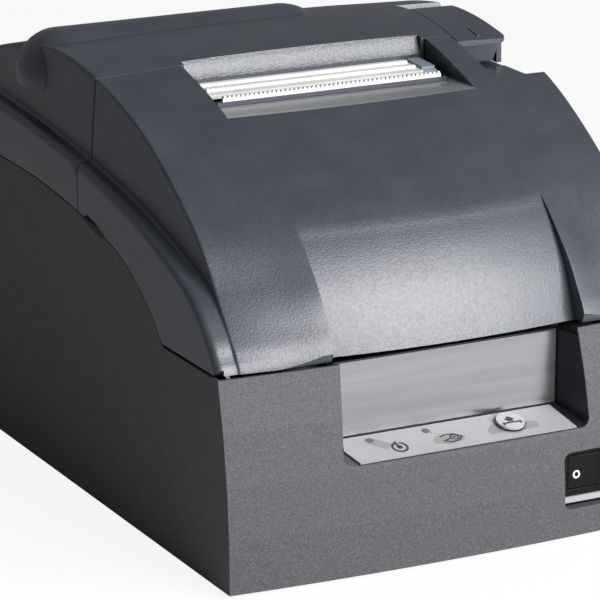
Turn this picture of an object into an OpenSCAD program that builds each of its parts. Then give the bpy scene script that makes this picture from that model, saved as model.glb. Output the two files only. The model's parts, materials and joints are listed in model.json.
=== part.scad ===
// Receipt printer with an impact dot-matrix head, a hinged front cover and a hinged roll cover.
// Every module is drawn with x = 0 in the middle, y = 0 at the foremost point of the case and
// z = 0 at the case's lower edge. place() then sets it on its feet with the origin centred.

/* [Case] */
// Width over the side walls at the bottom
body_w = 160; // [140:1:200]
// Depth from the front face to the rear wall
body_d = 248; // [240:1:280]
// Height of the raised bar on the roll cover above the table
total_h = 138.5; // [136:0.5:145]
// Height of the rubber feet under the case
foot_h = 1; // [1:0.5:6]
// Thickness of the moulded walls
wall = 2.5; // [2:0.1:3]
// How far the front face stands forward in the middle
front_bow = 3.44; // [1:0.1:6]
// How far the front face leans back at the seam
front_lean = 8.5; // [4:0.5:10]
// Height of the seam between the case and the front cover
seam_h = 63.8; // [60:0.2:66]
// Width of the case's running seams
seam_gap = 0.4; // [0.2:0.05:0.5]
// Width of the seam between the two covers
split_gap = 0.55; // [0.3:0.05:0.8]
// Width of the seam under the front cover
front_gap = 1; // [0.8:0.1:1.5]

/* [Covers] */
// Width of the ledge between the raised top and the side wall
ledge_w = 7.6; // [6:0.2:12]
// Depth of the seam between the two covers behind the front face
split_y = 109.7; // [108:0.1:112]
// Half width of the paper window
window_x = 43.4; // [40:0.2:46]
// Height of the window's shelf
shelf_z = 123.3; // [122:0.1:124]
// Half width of the sunk tongue
tongue_x = 42; // [40:0.2:43]

/* [Control panel] */
// Half width of the recess at the front face
recess_x = 42.3; // [38:0.1:44]
// Half width of the recess at its back
recess_back_x = 38.5; // [34:0.1:42]
// Depth of the recess at the back wall
recess_d = 18; // [16:0.5:20]
// Height of the recess floor at the front lip
recess_z = 33.5; // [32:0.1:36]
// Rise of the recess floor towards the back
recess_rise = 4; // [2:0.5:5]
// Radius of the feed button
button_r = 4.4; // [3:0.1:6]
// Travel of the feed button
button_travel = 0.8; // [0.4:0.1:1.2]

/* [Power switch] */
// Left edge of the switch recess
switch_x = 32.7; // [30:0.1:36]
// Width of the switch recess
switch_w = 24; // [22:0.5:26]
// Lower edge of the switch recess
switch_z = 8.6; // [6:0.1:12]
// Height of the switch recess
switch_h = 17.8; // [16:0.1:20]

/* [Print mechanism] */
// Room between each side plate and the side wall
side_room = 14; // [13:0.5:16]
// Thickness of the side plates and of the base plate
plate_t = 1.5; // [1:0.1:2]
// Radius of the carriage shaft
shaft_r = 4; // [3:0.1:4.5]
// Travel of the carriage to each side of the middle
carriage_travel = 30; // [20:1:30]
// Radius of the print head body
head_r = 12; // [10:0.2:12.4]
// Pitch of the tear bar's teeth
tooth_pitch = 1.54; // [1.2:0.02:3]
// Number of teeth on the tear bar
tooth_count = 50; // [30:1:52]
// Radius of the paper-feed roller
feed_r = 6; // [5:0.1:6.4]
// Module of the paper-feed gears
gear_m = 1; // [0.9:0.05:1.05]

/* [Paper bay] */
// Radius of the trough that the paper roll lies in
bay_r = 43; // [38:0.5:44]
// Clear width between the trough's cheeks
bay_w = 79; // [60:1:80]

/* [Hidden] */
$fn = 48;
fit = 0.2;          // clearance between pieces that are assembled
run = 0.05;         // radial clearance of a shaft in its bore
case_rear = body_d;
top_z = total_h - foot_h;
skirt_x = body_w / 2;
crest_x = skirt_x - ledge_w;
plate_x = skirt_x - side_room;
front_r = skirt_x * skirt_x / (2 * front_bow);

graphite = [0.24, 0.25, 0.27];
charcoal = [0.30, 0.31, 0.34];
dark = [0.12, 0.12, 0.13];
steel = [0.72, 0.74, 0.76];
zinc = [0.62, 0.65, 0.66];
white = [0.93, 0.93, 0.91];
board_green = [0.10, 0.36, 0.22];
brass = [0.78, 0.64, 0.34];

// ---------- helpers ----------

module place() translate([0, -body_d / 2, foot_h]) children();

// Stations are drawn for this depth; to_rear() moves the rear ones with body_d
drawn_d = 248;

function mix(a, b, t) = a + (b - a) * t;

// Catmull-Rom curve through a list of stations, with n steps a span
function curve(p, n) = concat(
    [for (i = [0 : len(p) - 2], k = [0 : n - 1]) curve_point(p, i, k / n)],
    [p[len(p) - 1]]);
function curve_point(p, i, t) =
    let (a = p[max(i - 1, 0)], b = p[i], c = p[i + 1], d = p[min(i + 2, len(p) - 1)])
    0.5 * (2 * b + (c - a) * t + (2 * a - 5 * b + 4 * c - d) * t * t
        + (3 * b - a - 3 * c + d) * t * t * t);

// A prism along x between x0 and x1 whose outline is drawn as [y, z]
module side_prism(x0, x1) translate([x0, 0, 0]) rotate([90, 0, 90])
    linear_extrude(x1 - x0) children();

// A bar along x with its middle at [y, z]
module x_rod(r, x0, x1, y, z) translate([x0, y, z]) rotate([0, 90, 0]) cylinder(r = r, h = x1 - x0);

module box(x0, x1, y0, y1, z0, z1) translate([x0, y0, z0]) cube([x1 - x0, y1 - y0, z1 - z0]);

module both() {
    children();
    mirror([1, 0, 0]) children();
}

module rounded(w, h, r) {
    translate([r, 0]) square([w - 2 * r, h]);
    translate([0, r]) square([w, h - 2 * r]);
    for (x = [r, w - r], y = [r, h - r]) translate([x, y]) circle(r);
}

// ---------- seam between the case and the covers ----------

seam = concat([[-5, seam_h - 0.4], [48.5, seam_h - 0.4]],
    to_rear(curve([[50.8, 65.7], [57.5, 72.2], [72.9, 81.6], [89.1, 86.9], [109.7, 90.4], [140, 93.6],
        [171, 94.4]], 4)));
module above_seam(rise, level) polygon(concat(
    [for (p = seam) p[0] < 49 ? [p[0], level] : p + [0, rise]],
    [[case_rear + 5, 94.4 + rise], [case_rear + 5, 200], [-5, 200]]));

// ---------- the moulded top of both covers ----------
// Four curves run from front to rear. Each is a list of [y, z] stations at the same places.

rim_z = 55;         // lower edge of the loft, hidden inside the case
centre_line = to_rear([[7, rim_z], [7.2, 64.3], [7.4, 69], [9.6, 74.2], [17.2, 85.2], [35.8, 102.4],
    [57.5, 115.4], [80.4, 124.9], [109.7, 133.4], [134, 135.6], [160, 134.2], [188, 128],
    [212.5, 118.4], [231.5, 109.6], [244, 101.4], [247.3, 94], [248, 84], [248, rim_z]]);
flank_line = to_rear([[8.3, rim_z], [8.6, 64.3], [9.7, 69], [12.8, 74.2], [20.4, 85], [37.2, 101.2],
    [58.1, 114.4], [80.6, 124.4], [109.7, 132.8], [135, 135.2], [160.6, 133.7], [188, 127.4],
    [212.3, 118.1], [231, 109.3], [243.7, 101.3], [247.2, 94], [248, 84], [248, rim_z]]);
crease_line = to_rear([[11.2, rim_z], [11.8, 64.3], [14.3, 69], [18.4, 74.2], [27.2, 84.4],
    [39.8, 98.9], [59.5, 112.8], [81.6, 123.9], [109.7, 131.6], [136, 134.7], [161.5, 132.5],
    [188, 126.3], [212, 117.2], [230.3, 108.7], [243.2, 101], [247.1, 94], [248, 84],
    [248, rim_z]]);
ledge_line = to_rear([[11.6, rim_z], [12.2, 64.3], [15, 69], [19.4, 74.6], [29.3, 83.4], [42, 89.3],
    [60.5, 95.6], [80.5, 100.8], [109.7, 105.8], [136, 109], [161.5, 111], [188, 112.3],
    [212, 111.4], [230.6, 107.4], [243, 100.6], [247, 94], [248, 84], [248, rim_z]]);
STEPS = 3;
fan_front = 60;     // the sections fan out from two lines along x, so wall offsets follow them
fan_rear = 190;
shoulder = 2.6;     // radius of the ledge's outer edge

function fan_in(p) = let (
    foot = [min(max(p[0], fan_front), fan_rear), rim_z],
    d = foot - p) norm(d) < 0.01 ? [0, -1] : d / norm(d);
function inset(p, t) = p[1] <= rim_z + 0.01
    ? [p[0] + (p[0] < 124 ? t : -t), p[1]] : p + t * fan_in(p);
function to_rear(line) = [for (p = line)
    [p[0] + (case_rear - drawn_d) * min(max((p[0] - 134) / 77, 0), 1), p[1]]];
function skirt_at(z) = skirt_x - 0.5 * z / seam_h;

// One half section: [x, y, z] from the centre to the rim, t is the wall that is taken off
function half_section(c, f, e, l, t) =
    let (foot_x = crest_x + 0.3 + 0.062 * max(e[1] - l[1], 0))
    [for (q = [
        [0, c], [0.22 * crest_x, mix(c, f, 0.14)], [0.414 * crest_x, mix(c, f, 0.49)],
        [0.594 * crest_x, f], [0.746 * crest_x, mix(f, e, 0.39)],
        [0.884 * crest_x, mix(f, e, 0.71)], [crest_x, e],
        [foot_x, l], [skirt_at(l[1]) - shoulder, l],
        [skirt_at(l[1]) - 0.3 * shoulder, inset(l, 0.3 * shoulder)],
        [skirt_at(l[1]), inset(l, shoulder)],
        [skirt_at(rim_z), [inset(l, shoulder)[0], rim_z]]])
        let (p = q[1][1] > rim_z ? inset(q[1], t) : inset([q[1][0], rim_z], t))
        [q[0] - (q[0] > 0.6 * crest_x ? t : 0), p[0], p[1]]];

module top_loft(t) {
    c = curve(centre_line, STEPS);
    f = curve(flank_line, STEPS);
    e = curve(crease_line, STEPS);
    l = curve(ledge_line, STEPS);
    half = [for (i = [0 : len(c) - 1]) half_section(c[i], f[i], e[i], l[i], t)];
    m = len(half[0]);
    w = 2 * m - 1;
    rows = len(half);
    points = [for (h = half, j = [-(m - 1) : m - 1])
        j < 0 ? [-h[-j][0], h[-j][1], h[-j][2]] : h[j]];
    faces = concat(
        [for (i = [0 : rows - 2], j = [0 : w - 2])
            each [[i * w + j, (i + 1) * w + j, (i + 1) * w + j + 1],
                  [i * w + j, (i + 1) * w + j + 1, i * w + j + 1]]],
        [concat([for (j = [0 : w - 1]) j],
            [for (i = [1 : rows - 1]) i * w + w - 1],
            [for (j = [w - 2 : -1 : 0]) (rows - 1) * w + j],
            [for (i = [rows - 2 : -1 : 1]) i * w])]);
    polyhedron(points, faces);
}

// Cuts that shape the front cover. Each grows by t, so that the skin keeps its wall around it.
hinge_y = 17.3;         // hinge line of the front cover
hinge_z = 68.5;
hinge_sweep = 8;       // reach of the cover's lower edge from its hinge line
corner_sweep = 4.95;    // the same at its side walls
tongue_r = 330;
tongue_line = [[11.4, 60], [11.6, 64.3], [14.4, 72.9], [17.6, 80.3], [21.8, 86.9], [26.5, 93],
    [32, 99], [40, 107]];
shelf_rear = 89.5;      // rear edge of the window's shelf
slot_x = 41;            // half width of the opening behind the shelf
scoop_z = 120.8;        // floor of the finger scoop
scoop_x = 52.9;         // left wall of the scoop
lever_slant = 2.6;      // the lever's left edge runs outwards by this much to its rear end
mouth_x = 42.2;         // half width of the concave wall over the paper exit

module tongue_cut(t) {
    line = curve(tongue_line, 3);
    half_angle = 9;
    intersection() {
        translate([0, tongue_r, 0]) rotate([0, 0, -90 - half_angle])
            rotate_extrude(angle = 2 * half_angle, $fn = 240) polygon(concat(
                [for (p = line) [tongue_r - p[0] - t, p[1]]],
                [[tongue_r + 20, 107], [tongue_r + 20, 60]]));
        rotate([90, 0, 0]) translate([0, 0, -60]) linear_extrude(80)
            polygon([[-tongue_x - 1.2 - t, 58], [tongue_x + 1.2 + t, 58],
                [tongue_x + t, 108], [-tongue_x - t, 108]]);
    }
}

module window_cut(t) box(-window_x - t, window_x + t, 60, split_y + 5, shelf_z - t, 150);

module scoop_cut(t) side_prism(scoop_x - t, skirt_x + 15) polygon(concat(
    curve([[80.5 - t, 126 - t], [84 - t, 123.4 - t], [88.6 - t, 121.6 - t], [94, 120.9 - t],
        [100, scoop_z - t], [split_y + 5, scoop_z - t]], 3),
    [[split_y + 5, 150], [80.5 - t, 150]]));

module front_form(t) difference() {
    top_loft(t);
    tongue_cut(t);
    window_cut(t);
    scoop_cut(t);
}

knuckle_x = [46, 50];       // the cover's hinge knuckles, measured on each side
ear_x = [50.4, 53.4];       // the case's hinge ears next to them
pin_r = 1.25;

module front_knuckle() difference() {
    hull() {
        x_rod(2.6, knuckle_x[0], knuckle_x[1], hinge_y, hinge_z);
        box(knuckle_x[0], knuckle_x[1], 13, 14, 66, 71);
    }
    x_rod(pin_r + run, knuckle_x[0] - 1, knuckle_x[1] + 1, hinge_y, hinge_z);
}

// A thin web between the ledge and the side wall, on both sides
module gusset(y) both() hull() {
    z = lookup(y, ledge_line);
    box(crest_x - 1.4, skirt_x - 2, y, y + 1.4, z - 3.4, z - 1.6);
    box(skirt_x - 3.2, skirt_x - 2, y, y + 1.4, z - 10, z - 9);
}

// Thumb notch across the side seam, dished so that its lower face looks up and out
module finger_notch() both() hull() {
    side_prism(skirt_x - 0.7, skirt_x + 1) polygon([[89.2, 86.7], [92, 86.2], [95, 86.4],
        [99.2, 87.2], [105.8, 89.3], [102.8, 91], [97.8, 90.3], [90, 87.6]]);
    side_prism(skirt_x - 1.9, skirt_x - 1.8) polygon([[90.6, 87.4], [103.6, 90.1],
        [102.8, 90.8], [97.8, 90.1]]);
}

module front_cover() color(charcoal) place() difference() {
    union() {
        intersection() {
            difference() {
                front_form(0);
                front_form(wall);
            }
            side_prism(-100, 100) intersection() {
                above_seam(seam_gap / 2, seam_h - 0.4 + front_gap);
                translate([-5, 0]) square([split_y + 5 - split_gap / 2, 200]);
            }
        }
        both() front_knuckle();
        intersection() {
            top_loft(1);
            for (y = [46, 62, 78, 96]) gusset(y);
        }
    }
    side_prism(-100, 100) difference() {
        translate([-10, 50]) square([hinge_y + 10, hinge_z - 50]);
        translate([hinge_y, hinge_z]) circle(hinge_sweep, $fn = 96);
    }
    both() side_prism(skirt_x - 2.9, skirt_x + 5) difference() {
        translate([-10, 50]) square([hinge_y + 10, hinge_z - 50]);
        translate([hinge_y, hinge_z]) circle(corner_sweep, $fn = 96);
    }
    box(-slot_x, slot_x, shelf_rear, split_y + 5, 110, 130);
    finger_notch();
}

module front_hinge_pins() color(steel) place() both()
    x_rod(pin_r, knuckle_x[0] + 0.1, ear_x[1] + 0.4, hinge_y, hinge_z);

// The roll cover
roll_hinge_y = case_rear - 2.1;    // hinge line in the rear wall, at the seam
roll_hinge_z = 94.5;
roll_barrel_r = 2.1;
roll_pin_r = 1;
roll_knuckle_x = [skirt_x - 20, skirt_x - 14];
roll_ear_x = [skirt_x - 13.6, skirt_x - 9.6];
bar_y = [148, 166];     // the raised bar across the top
bar_x = [0.9 - crest_x, 25];
lever_y = [105.6, 141.6];
lever_x = scoop_x + 0.3;
lever_rear_gap = 0.9;
lever_pivot = [136.6, 129.2];
lever_pin_r = 1.5;
mouth_r = 16;           // concave wall over the paper exit
mouth_at = [98.6, 135.5];

module raised_bar(t) hull() {
    r = 14;
    for (x = [bar_x[0] + 8.4, bar_x[1] - 8.4], p = [[8.2, 0], [10.6, -0.3]])
        translate([x, bar_y[0] + p[0], top_z - r + p[1]]) sphere(r - t);
}

// Plan of the lever's pocket: the left side runs outwards to the rear
module lever_plan(left, y0, y1) polygon([[left, y0], [skirt_x + 15, y0], [skirt_x + 15, y1],
    [left + lever_slant * (y1 - y0) / 36, y1]]);

module lever_pocket(t) {
    rear = lever_y[1] + lever_rear_gap;
    translate([0, 0, 120.5 - t]) linear_extrude(30)
        lever_plan(scoop_x - t, lever_y[0] - t, rear + t);
    side_prism(scoop_x + lever_slant - t, skirt_x + 15) polygon([[rear - 1, 128.6 - t],
        [rear + 3, 129.2 - t], [rear + 6 + 0.5 * t, 130.6 - t], [rear + 7.4 + t, 132.6],
        [rear + 8.2 + t, 135], [rear + 8.4 + t, 150], [rear - 1, 150]]);
}

module roll_form(t) {
    difference() {
        top_loft(t);
        lever_pocket(t);
    }
    intersection() {
        raised_bar(t);
        box(-skirt_x, skirt_x, 140, 175, 120, 150);
    }
}

module mouth_wall() side_prism(-mouth_x - 0.6, mouth_x + 0.6) intersection() {
    translate(mouth_at) circle(mouth_r, $fn = 96);
    polygon([[split_y + 0.5, 136], [split_y + 0.5, 122.8], [120, 122.8], [120, 136]]);
}

module roll_knuckle() side_prism(roll_knuckle_x[0], roll_knuckle_x[1]) {
    translate([roll_hinge_y, roll_hinge_z]) circle(roll_barrel_r);
    translate([roll_hinge_y - roll_barrel_r, roll_hinge_z]) square([2.4, 5]);
}

module roll_cover() color(charcoal) place() difference() {
    union() {
        intersection() {
            difference() {
                roll_form(0);
                roll_form(wall);
            }
            side_prism(-100, 100) intersection() {
                above_seam(seam_gap / 2, 0);
                translate([split_y + split_gap / 2, 0]) square([200, 200]);
            }
        }
        intersection() {
            top_loft(0.1);
            union() {
                mouth_wall();
                both() box(mouth_x, window_x + 3, split_y + 0.3, split_y + 2.4, 124, 136);
            }
        }
        both() roll_knuckle();
        intersection() {
            top_loft(1);
            for (y = [124, 156, 184, 208]) gusset(y);
        }
        side_prism(crest_x - 4.8, crest_x - 2) {
            translate(lever_pivot) circle(2.4);
            translate([lever_pivot[0] - 2.4, 119]) square([4.8, lever_pivot[1] - 119]);
        }
    }
    both() x_rod(roll_barrel_r + 0.3, roll_ear_x[0] - 0.3, roll_ear_x[1] + 0.3, roll_hinge_y,
        roll_hinge_z);
    both() x_rod(roll_pin_r + run, roll_knuckle_x[0] - 1, roll_knuckle_x[1] + 1, roll_hinge_y,
        roll_hinge_z);
    side_prism(-mouth_x, mouth_x) translate(mouth_at) circle(mouth_r - 2, $fn = 96);
    x_rod(lever_pin_r + run, scoop_x, crest_x - 1.4, lever_pivot[0], lever_pivot[1]);
}

module roll_hinge_pins() color(steel) place() both()
    x_rod(roll_pin_r, roll_knuckle_x[0] + 0.1, roll_ear_x[1] - 0.1, roll_hinge_y, roll_hinge_z);

// The exit guide under the roll cover's mouth: a white plate with two ridges and an end block
guide_front = [97, 124.2];
guide_rear = [111.6, 125.1];
module exit_guide() color(white) place() intersection() {
    slope = atan2(guide_rear[1] - guide_front[1], guide_rear[0] - guide_front[0]);
    translate([0, guide_front[0], guide_front[1]]) rotate([slope, 0, 0]) union() {
        box(-slot_x + 0.4, slot_x - 0.4, 0, 16, 0, 1.4);
        for (y = [4.4, 9.8]) x_rod(1.1, -39, 35, y, 1.1);
        box(36, slot_x - 0.4, 1.2, 11.4, 1.2, 2.2);
    }
    box(-50, 50, 90, split_y + 0.45, 120, 130);
}

// Finger lever that unlatches the roll cover
lever_skin = 1.7;
module cover_lever() color(charcoal) place() difference() {
    union() {
        intersection() {
            difference() {
                top_loft(0);
                top_loft(lever_skin);
            }
            side_prism(lever_x, skirt_x + 10) polygon([[lever_y[0], 129.5], [split_y + 0.8, 129.5],
                [split_y + 1.6, 121.5], [lever_y[1], 121.5], [lever_y[1], 150], [lever_y[0], 150]]);
            linear_extrude(160) difference() {
                lever_plan(lever_x, lever_y[0], lever_y[1]);
                translate([crest_x - 0.6, lever_y[0]]) difference() {
                    translate([-3, -1]) square([8, 4]);
                    translate([-3, 3]) circle(3);
                    translate([-3, 3]) square([8, 8]);
                }
            }
        }
        intersection() {
            top_loft(0.5);
            union() {
                intersection() {
                    side_prism(lever_x + 1.2, crest_x - 0.8) polygon([[110.3, 131],
                        [110.3, 128.6], [111.6, 122.4], [117, 122.4], [118, 126.2], [118, 134]]);
                    rotate([90, 0, 0]) translate([0, 0, -125]) linear_extrude(20)
                        polygon([[lever_x, 122], [crest_x - 2.4, 122], [crest_x - 0.8, 129],
                            [crest_x - 0.8, 140], [lever_x, 140]]);
                }
                for (y = [113.2 : 2.6 : 129]) hull() {
                    box(lever_x + 2.6, lever_x + 3.6, y, y + 1, 130, 135);
                    box(crest_x - 2, crest_x - 1, y, y + 1, 128, 135);
                }
                hull() {
                    x_rod(3, 62, 66, lever_pivot[0], lever_pivot[1]);
                    box(62, 66, lever_pivot[0] - 3, lever_pivot[0] + 3, 132, 134.6);
                }
            }
        }
        intersection() {
            top_loft(-0.3);
            box(62.3, 63.1, 108.7, 114.6, 130, 140);
        }
    }
    x_rod(lever_pin_r + run, 61, 67, lever_pivot[0], lever_pivot[1]);
}

module lever_pin() color(steel) place()
    x_rod(lever_pin_r, scoop_x + 0.3, crest_x - 2, lever_pivot[0], lever_pivot[1]);

// Torsion coil on the pin, with one leg on the pocket floor
module lever_spring() color(steel) place() difference() {
    union() {
        x_rod(2.5, lever_x + 3.4, 61.4, lever_pivot[0], lever_pivot[1]);
        box(lever_x + 3.4, lever_x + 4.4, lever_pivot[0] - 2.4, lever_pivot[0] - 1.4, 120.5,
            lever_pivot[1]);
    }
    x_rod(lever_pin_r + 0.1, lever_x, 62, lever_pivot[0], lever_pivot[1]);
}

// ---------- case ----------

function lean_at(z) = front_lean * pow(z / seam_h, 2);

module case_form(t) intersection() {
    translate([0, front_r, 0]) rotate([0, 0, -98]) rotate_extrude(angle = 16, $fn = 240)
        polygon(concat(
            [[front_r - 300, -5]],
            [for (z = [-5, 0, 16, 32, 48, 64, 110]) [front_r - lean_at(z) - t, z]],
            [[front_r - 300, 110]]));
    translate([0, case_rear - t, 0]) rotate([90, 0, 0]) linear_extrude(case_rear + 20)
        polygon([[-skirt_x + t, 0], [skirt_x - t, 0], [skirt_at(100) - t, 100],
            [-skirt_at(100) + t, 100]]);
}

module recess_form(t) intersection() {
    side_prism(-60, 60) polygon([[-8, recess_z - t], [3.7, recess_z - t],
        [recess_d, recess_z + recess_rise - t], [recess_d + t, recess_z + recess_rise - t],
        [recess_d + t, 90], [-8, 90]]);
    linear_extrude(100) polygon([[-recess_x - t, -8], [recess_x + t, -8], [recess_x + t, 4],
        [recess_back_x + t, recess_d + t], [-recess_back_x - t, recess_d + t],
        [-recess_x - t, 4]]);
    rotate([90, 0, 0]) translate([-recess_x - t, recess_z - t, -60]) linear_extrude(80)
        rounded(2 * (recess_x + t), 60, 3 + t);
}

// Height and tilt of the recess floor, for what lies on it
floor_tilt = atan2(recess_rise, recess_d - 3.7);
module on_floor(x, y) translate([x, 3.7, recess_z]) rotate([floor_tilt, 0, 0])
    translate([0, y, 0]) children();

button_at = [18.4, 7.4];
led_at = [[-28.2, 10.6], [-9, 10.8]];
led_r = 1.2;

post_at = [for (x = [12 - skirt_x, skirt_x - 12], y = [17, case_rear - 14]) [x, y]];
panel_x = [-62, 22];
panel_z = [12, 42];
inlet_at = [52, 22];
jack_x = [28, 40];
jack_z = [14, 26];

module hinge_ear() {
    side_prism(ear_x[0], ear_x[1]) difference() {
        union() {
            translate([hinge_y, hinge_z]) circle(2.4);
            translate([hinge_y, hinge_z - 2.4]) square([26 - hinge_y, 4.8]);
            translate([22.6, 34]) square([3.4, hinge_z - 34 + 2.4]);
        }
        translate([hinge_y, hinge_z]) circle(pin_r + run);
    }
    box(recess_back_x - 2, ear_x[1], 21.5, 26, 34, 60);
    box(recess_back_x - 2, recess_back_x + 2, recess_d + 2, 22, 34, 60);
}

module roll_ear() side_prism(roll_ear_x[0], roll_ear_x[1]) difference() {
    union() {
        translate([roll_hinge_y, roll_hinge_z]) circle(roll_barrel_r);
        translate([roll_hinge_y - roll_barrel_r, 84]) square([2 * roll_barrel_r, roll_hinge_z - 84]);
    }
    translate([roll_hinge_y, roll_hinge_z]) circle(roll_pin_r + run);
}

module case() color(graphite) place() difference() {
    union() {
        difference() {
            case_form(0);
            translate([0, 0, -1]) case_form(wall);
            side_prism(-100, 100) above_seam(-seam_gap / 2, seam_h - 0.4);
            intersection() {
                case_form(1.1);
                box(-skirt_x, skirt_x, -5, 30, 61.2, 80);
            }
            x_rod(roll_barrel_r + 0.3, -skirt_x - 5, skirt_x + 5, roll_hinge_y, roll_hinge_z);
        }
        intersection() {
            recess_form(2);
            case_form(0.4);
            box(-60, 60, -5, 30, 20, 61.2);
        }
        intersection() {
            translate([switch_x - 2, 0, switch_z - 2])
                cube([switch_w + 4, 6, switch_h + 4]);
            case_form(0.5);
        }
        for (p = post_at) translate([p[0], p[1], 2.8]) cylinder(r = 4, h = 24);
        both() {
            hinge_ear();
            roll_ear();
            for (p = post_at) if (p[0] > 0) box(p[0], skirt_x - 1, p[1] - 4, p[1] + 4, 3, 26);
        }
    }
    recess_form(0);
    rotate([90, 0, 0]) translate([switch_x, switch_z, -20]) linear_extrude(40)
        rounded(switch_w, switch_h, 2.5);
    for (p = post_at) translate([p[0], p[1], 1]) cylinder(r = 1.6, h = 22);
    box(panel_x[0], panel_x[1], case_rear - 8, case_rear + 8, panel_z[0], panel_z[1]);
    translate([inlet_at[0], case_rear - 8, inlet_at[1]]) rotate([-90, 0, 0]) cylinder(r = 8, h = 20);
    box(jack_x[0] - 0.3, jack_x[1] + 0.3, case_rear - 8, case_rear + 8, jack_z[0] - 0.3,
        jack_z[1] + 0.3);
    on_floor(button_at[0], button_at[1]) translate([0, 0, -5]) cylinder(r = 2.6, h = 8);
    for (p = led_at) on_floor(p[0], p[1]) translate([0, 0, -5]) cylinder(r = led_r + 0.1, h = 8);
    finger_notch();
}

module bottom_plate() color(zinc) place() difference() {
    box(-skirt_x + wall + 0.6, skirt_x - wall - 0.6, 7, case_rear - wall - 0.4, 0.5, 2.5);
    for (p = post_at) translate([p[0], p[1], -1]) cylinder(r = 1.8, h = 5);
    for (y = [64 : 12 : 136], x = [-32, 32]) translate([x - 12, y, -1]) cube([24, 3, 5]);
}

module feet() color(dark) place() for (x = [20 - skirt_x, skirt_x - 20], y = [26, case_rear - 26])
    translate([x, y, -foot_h]) cylinder(r = 8, h = foot_h + 0.5);

module case_screws() color(steel) place() for (p = post_at) translate([p[0], p[1], 0]) {
    translate([0, 0, -0.5]) cylinder(r = 3, h = 1);
    cylinder(r = 1.5, h = 20);
}

// ---------- control panel ----------

module recess_plate() color(steel) place() intersection() {
    box(-recess_back_x + 0.4, recess_back_x - 0.4, recess_d - 0.8, recess_d,
        recess_z + recess_rise + 0.6, 61);
    recess_form(0);
}

label_t = 0.4;
module control_label() color(white) place() difference() {
    on_floor(0, 0) translate([0, 0, 0.02]) linear_extrude(label_t) polygon([[-36.6, 0.2], [38, 0.2],
        [recess_back_x - 2.6, 13.6], [2.6 - recess_back_x, 13.6], [-38.4, 7.4]]);
    on_floor(button_at[0], button_at[1]) translate([0, 0, -1])
        cylinder(r = button_r + 0.2, h = 4);
    for (p = led_at) on_floor(p[0], p[1]) translate([0, 0, -1])
        cylinder(r = led_r + 0.1, h = 4);
}

module status_leds() color([0.55, 0.57, 0.55]) place() for (p = led_at)
    on_floor(p[0], p[1]) translate([0, 0, -4]) cylinder(r = led_r, h = 4.5);

module feed_button() color(white) place() on_floor(button_at[0], button_at[1]) {
    translate([0, 0, button_travel + 0.1]) cylinder(r = button_r, h = 0.7);
    translate([0, 0, -4.6]) cylinder(r = 2.5, h = 5.8);
}

module panel_board() color(board_green) place() {
    on_floor(0, 0) box(-36, 36, 1.5, 13.5, -7.6, -6.2);
    on_floor(0, 0) both() box(30, 33, 5, 10, -6.2, -2);
    on_floor(button_at[0], button_at[1]) box(-3, 3, -3, 3, -6.2, -5.5);
}

// ---------- power switch ----------

rocker_w = 19.2;
rocker_h = 10.4;
rocker_at = [switch_x + 3.2 + rocker_w / 2, 9, switch_z + 5.4 + rocker_h / 2];
rocker_rest = -6;
module switch_bezel() color(dark) place() difference() {
    translate([switch_x + fit, 15, switch_z + fit]) rotate([90, 0, 0]) linear_extrude(10.6)
        rounded(switch_w - 2 * fit, switch_h - 2 * fit, 2.3);
    translate(rocker_at) {
        box(-rocker_w / 2 - 0.4, rocker_w / 2 + 0.4, -9, 4.6, -rocker_h / 2 - 0.3,
            rocker_h / 2 + 0.3);
        cylinder(r = 1.05, h = rocker_h + 3, center = true);
    }
}

module switch_strip() color([0.7, 0.71, 0.72]) place()
    box(switch_x + 1.4, switch_x + switch_w - 1.4, 3.6, 4.4, switch_z + 1.2, switch_z + 3);

module power_rocker() color(dark) place() translate(rocker_at) rotate([0, 0, rocker_rest]) {
    translate([0, 0, -rocker_h / 2]) linear_extrude(rocker_h) polygon([[-9.2, -5.4], [-5, -5.2],
        [0, -4.6], [5, -5.2], [9.2, -5.4], [7.4, 0.6], [2.4, 2.2], [-2.4, 2.2], [-7.4, 0.6]]);
    cylinder(r = 1, h = rocker_h + 2.6, center = true);
}

// ---------- frame of the print mechanism ----------

base_z = 44;
base_y = [30, 126];
post_r = 3;
mech_post_at = [for (x = [8 - plate_x, plate_x - 8], y = [36, 120]) [x, y]];
guide_y = [52, 56];
guide_z = [84, 86];
shaft_at = [74, 80];
feed_at = [99.5, 64];
pinch_at = [88.6, 64];
train_turn = 4.6;       // slope of the gear train, from the motor up to the feed roller
pinion_teeth = 10;
idler_teeth = 18;
feed_teeth = 28;
idler_reach = gear_m * (pinion_teeth + idler_teeth) / 2;
feed_reach = gear_m * (idler_teeth + feed_teeth) / 2;
train_way = [cos(train_turn), sin(train_turn)];
idler_at = feed_at - feed_reach * train_way;
motor_at = idler_at - idler_reach * train_way;
platen_y = 92.9;
rest_x = 57;
rest_z = 87.8;
print_z = [92, 105];

module mech_base() color(zinc) place() difference() {
    box(-plate_x, plate_x, base_y[0], base_y[1], base_z, base_z + plate_t);
    for (x = [-30, 0, 30]) translate([x, 104, base_z - 1]) cylinder(r = 6, h = 4);
}

module mech_posts() color(zinc) place() for (p = mech_post_at)
    translate([p[0], p[1], 2.5]) cylinder(r = post_r, h = base_z - 2.5, $fn = 6);

module side_plate() side_prism(plate_x, plate_x + plate_t) difference() {
    polygon([[base_y[0], base_z - 4], [base_y[1], base_z - 4], [base_y[1], 108], [118, 114],
        [101, 114], [64, 102], [45, 88], [36, 70], [base_y[0], 56]]);
    translate(shaft_at) circle(shaft_r + run);
    translate(feed_at) circle(3 + run);
    translate(pinch_at) circle(1.5 + run);
    translate(motor_at) circle(5.2);
}

// Bent tabs that the ribbon cassette rests on
module cassette_rests() for (y = [[45, 49.5], [84, 89]])
    box(rest_x, plate_x + 0.5, y[0], y[1], rest_z - 1.2, rest_z);

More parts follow.
